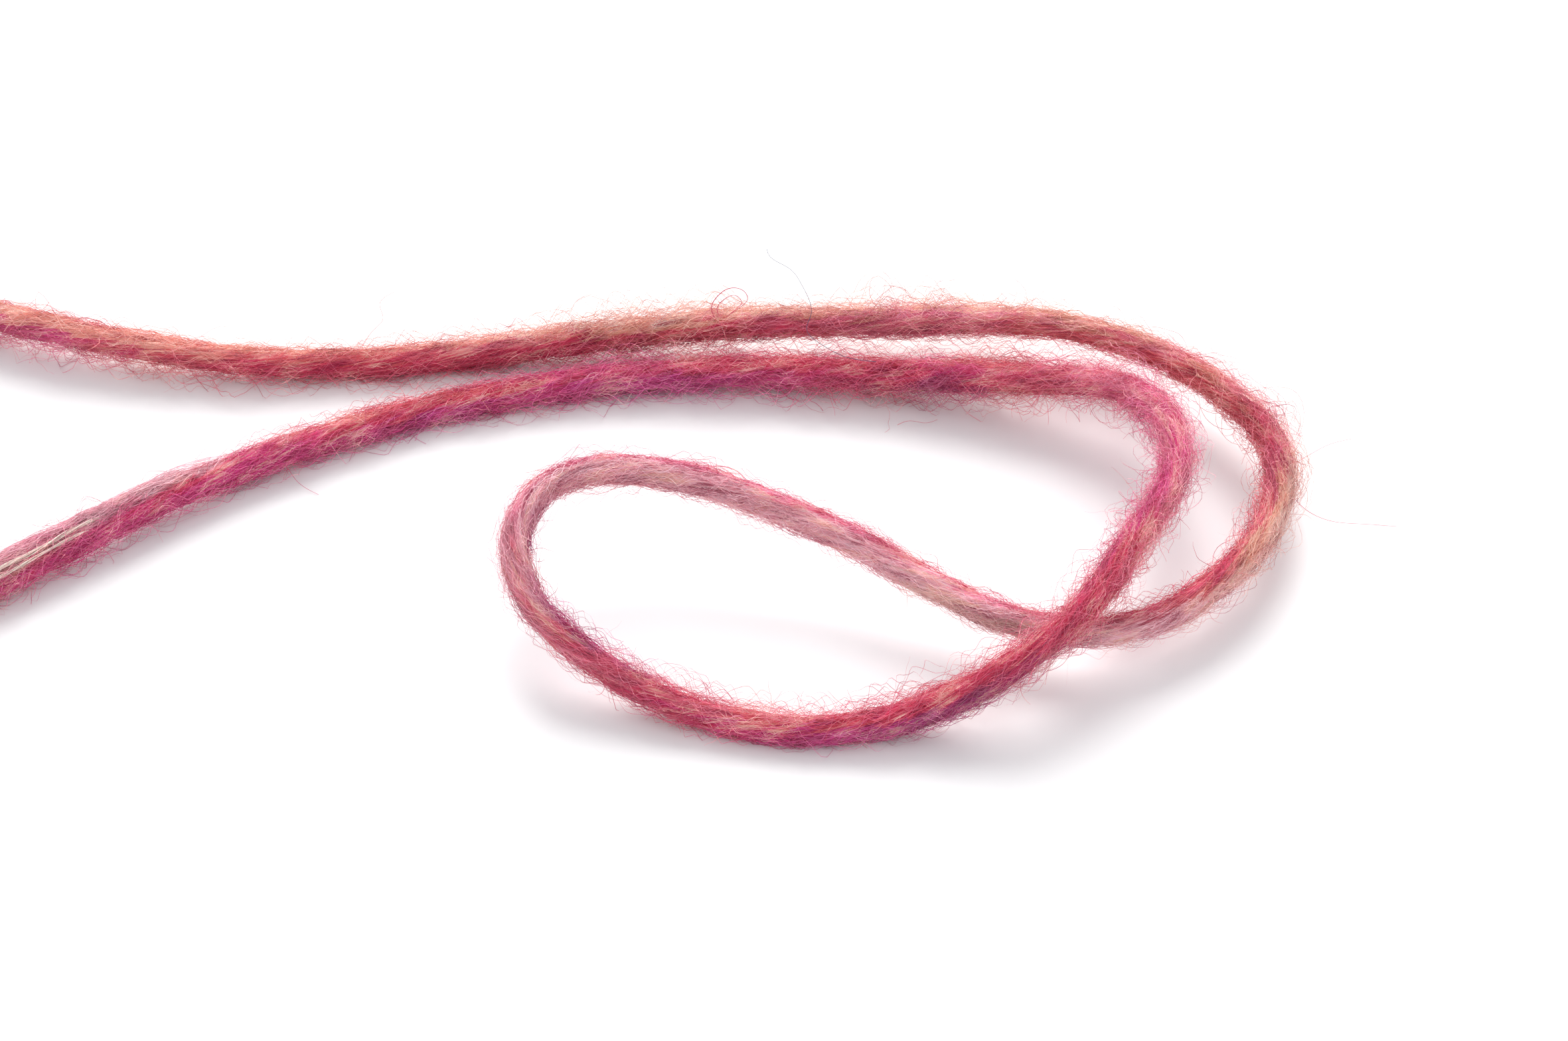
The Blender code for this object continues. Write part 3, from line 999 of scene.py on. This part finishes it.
# Points are in millimetres: right, back, up. "at" and "side" are where each has its dye from
HAIRS = [
    {"at": 54, "side": 0.1, "thick": 0.032, "points": [
        (7.88, 13.07, 3.00), (7.65, 13.56, 3.60), (8.04, 13.88, 4.20), (8.74, 13.96, 4.70),
        (9.51, 13.84, 4.60), (9.74, 13.70, 4.10), (9.35, 13.56, 3.60), (8.65, 13.31, 3.20)]},
    {"at": 54, "side": 0.1, "thick": 0.026, "points": [
        (8.19, 13.08, 3.10), (7.96, 13.44, 3.50), (8.42, 13.81, 4.00), (9.12, 13.93, 4.10),
        (9.39, 13.74, 3.80), (9.04, 13.55, 3.40), (8.50, 13.19, 3.10)]},
    {"at": 70, "side": 0.45, "thick": 0.016, "points": [
        (28.39, 11.03, 3.60), (28.89, 11.56, 4.10), (29.58, 11.79, 4.20), (30.05, 11.55, 3.90),
        (29.77, 11.03, 3.70), (29.00, 11.15, 3.70)]},
    {"at": 60, "side": 0.45, "thick": 0.016, "points": [
        (18.74, 11.74, 3.30), (19.70, 11.98, 3.50), (20.66, 11.80, 3.40), (21.62, 12.14, 3.50),
        (22.28, 11.97, 3.40)]},
    {"at": 90, "side": 0.2, "thick": 0.018, "points": [
        (40.49, -0.93, 2.60), (41.30, -1.04, 1.60), (42.90, -1.05, 0.60), (44.62, -0.77, 0.10),
        (46.72, -0.93, 0.05)]},
    {"at": 88, "side": 0.3, "thick": 0.018, "points": [
        (40.20, 0.80, 3.00), (41.08, 2.15, 2.20), (42.43, 4.30, 1.00), (43.50, 5.52, 0.40),
        (44.56, 6.15, 0.10)]},
    {"at": 28, "side": 0.3, "thick": 0.018, "points": [
        (-12.54, 10.93, 2.90), (-11.85, 12.13, 3.20), (-11.41, 12.81, 3.40), (-11.61, 13.41, 3.90),
        (-10.81, 14.05, 4.30)]},
    {"at": 252, "side": 0.6, "thick": 0.018, "points": [
        (-17.60, 3.30, 1.40), (-16.71, 3.11, 1.00), (-16.07, 2.53, 0.40), (-14.71, 1.64, 0.05)]},
    {"at": 214, "side": 0.6, "thick": 0.016, "points": [
        (18.40, 6.79, 0.60), (19.17, 7.33, 0.40), (20.06, 7.37, 0.20), (20.72, 7.65, 0.20)]},
]


def hair_line(points):
    """A hair of HAIR_POINTS points through the places."""
    places = np.array(points) * MM
    whole = np.linalg.norm(np.diff(places, axis=0), axis=1).sum()
    return smooth_line(places, whole / (HAIR_POINTS - 1))[0]


hair_marks = np.array([hair["at"] for hair in HAIRS])[:, None] * MM
hair_sides = np.array([hair["side"] for hair in HAIRS])[:, None]
mesh = fibre_mesh(
    "long_hairs",
    np.array([hair_line(hair["points"]) for hair in HAIRS]),
    np.mod(hair_sides - hair_marks / TWIST_PITCH, 1.0),
    hair_marks,
    np.array([hair["thick"] for hair in HAIRS])[:, None] * MM,
    np.linspace(1.0, HAIR_TIP, HAIR_POINTS),
)
fibre_piece(mesh, wool("dyed_wool_hairs", 0.5, "crimson", 0.8))


# Dark hair on the upper strand
# One blue-grey fibre, straighter and stiffer than the wool, lies over the upper strand. It is
# not part of the spinning, only caught on the fluff.
GREY_HAIR_RADIUS = 0.020 * MM
GREY_HAIR_AT = 54.0 * MM
GREY_HAIR_SIDE = 0.5
GREY_HAIR_TIP = 0.8

# Points are in millimetres: right, back, up
GREY_HAIR = [
    (10.85, 17.44, 4.60),
    (10.96, 17.03, 4.50),
    (12.20, 16.26, 4.10),
    (12.86, 15.28, 3.80),
    (13.36, 13.96, 3.60),
    (13.44, 13.21, 3.40),
    (13.16, 12.18, 3.10),
    (13.97, 11.16, 2.90),
    (15.46, 9.93, 3.00),
    (17.17, 9.23, 3.30),
]

mesh = fibre_mesh(
    "dark_hair",
    hair_line(GREY_HAIR)[None],
    np.array([[GREY_HAIR_SIDE]]),
    np.array([[GREY_HAIR_AT]]),
    np.array([[GREY_HAIR_RADIUS]]),
    np.linspace(GREY_HAIR_TIP, 1.0, HAIR_POINTS),
)
blue_grey = bpy.data.materials.new("blue_grey_hair")
blue_grey.use_nodes = True
surface = blue_grey.node_tree.nodes["Principled BSDF"]
surface.inputs["Base Color"].default_value = linear((70, 78, 104))
surface.inputs["Roughness"].default_value = 0.6
fibre_piece(mesh, blue_grey)


# Table and light
# A plain white table, a broad soft light from behind the yarn, 35 degrees up, and bright
# surroundings. The shadows fall towards the camera, and their edges are soft.
TABLE_SIZE = 6.0
LIGHT_ELEVATION = math.radians(35.0)
LIGHT_SPREAD = math.radians(42.0)

table = bpy.data.objects.new("table", bpy.data.meshes.new("table"))
top = bmesh.new()
bmesh.ops.create_grid(top, x_segments=1, y_segments=1, size=TABLE_SIZE / 2)
top.to_mesh(table.data)
top.free()
bpy.context.scene.collection.objects.link(table)
white = bpy.data.materials.new("white_table")
white.use_nodes = True
surface = white.node_tree.nodes["Principled BSDF"]
surface.inputs["Base Color"].default_value = (0.9, 0.9, 0.9, 1.0)
surface.inputs["Roughness"].default_value = 1.0
surface.inputs["Specular IOR Level"].default_value = 0.0
table.data.materials.append(white)

light = bpy.data.objects.new("soft_light", bpy.data.lights.new("soft_light", "SUN"))
light.data.energy = 4.1
light.data.angle = LIGHT_SPREAD
light.data.color = (1.0, 0.99, 0.975)
light.rotation_euler = (LIGHT_ELEVATION - math.pi / 2, 0.0, 0.0)
bpy.context.scene.collection.objects.link(light)

world = bpy.data.worlds.new("surroundings")
world.use_nodes = True
world.node_tree.nodes["Background"].inputs["Color"].default_value = (0.80, 0.80, 0.825, 1.0)
bpy.context.scene.world = world
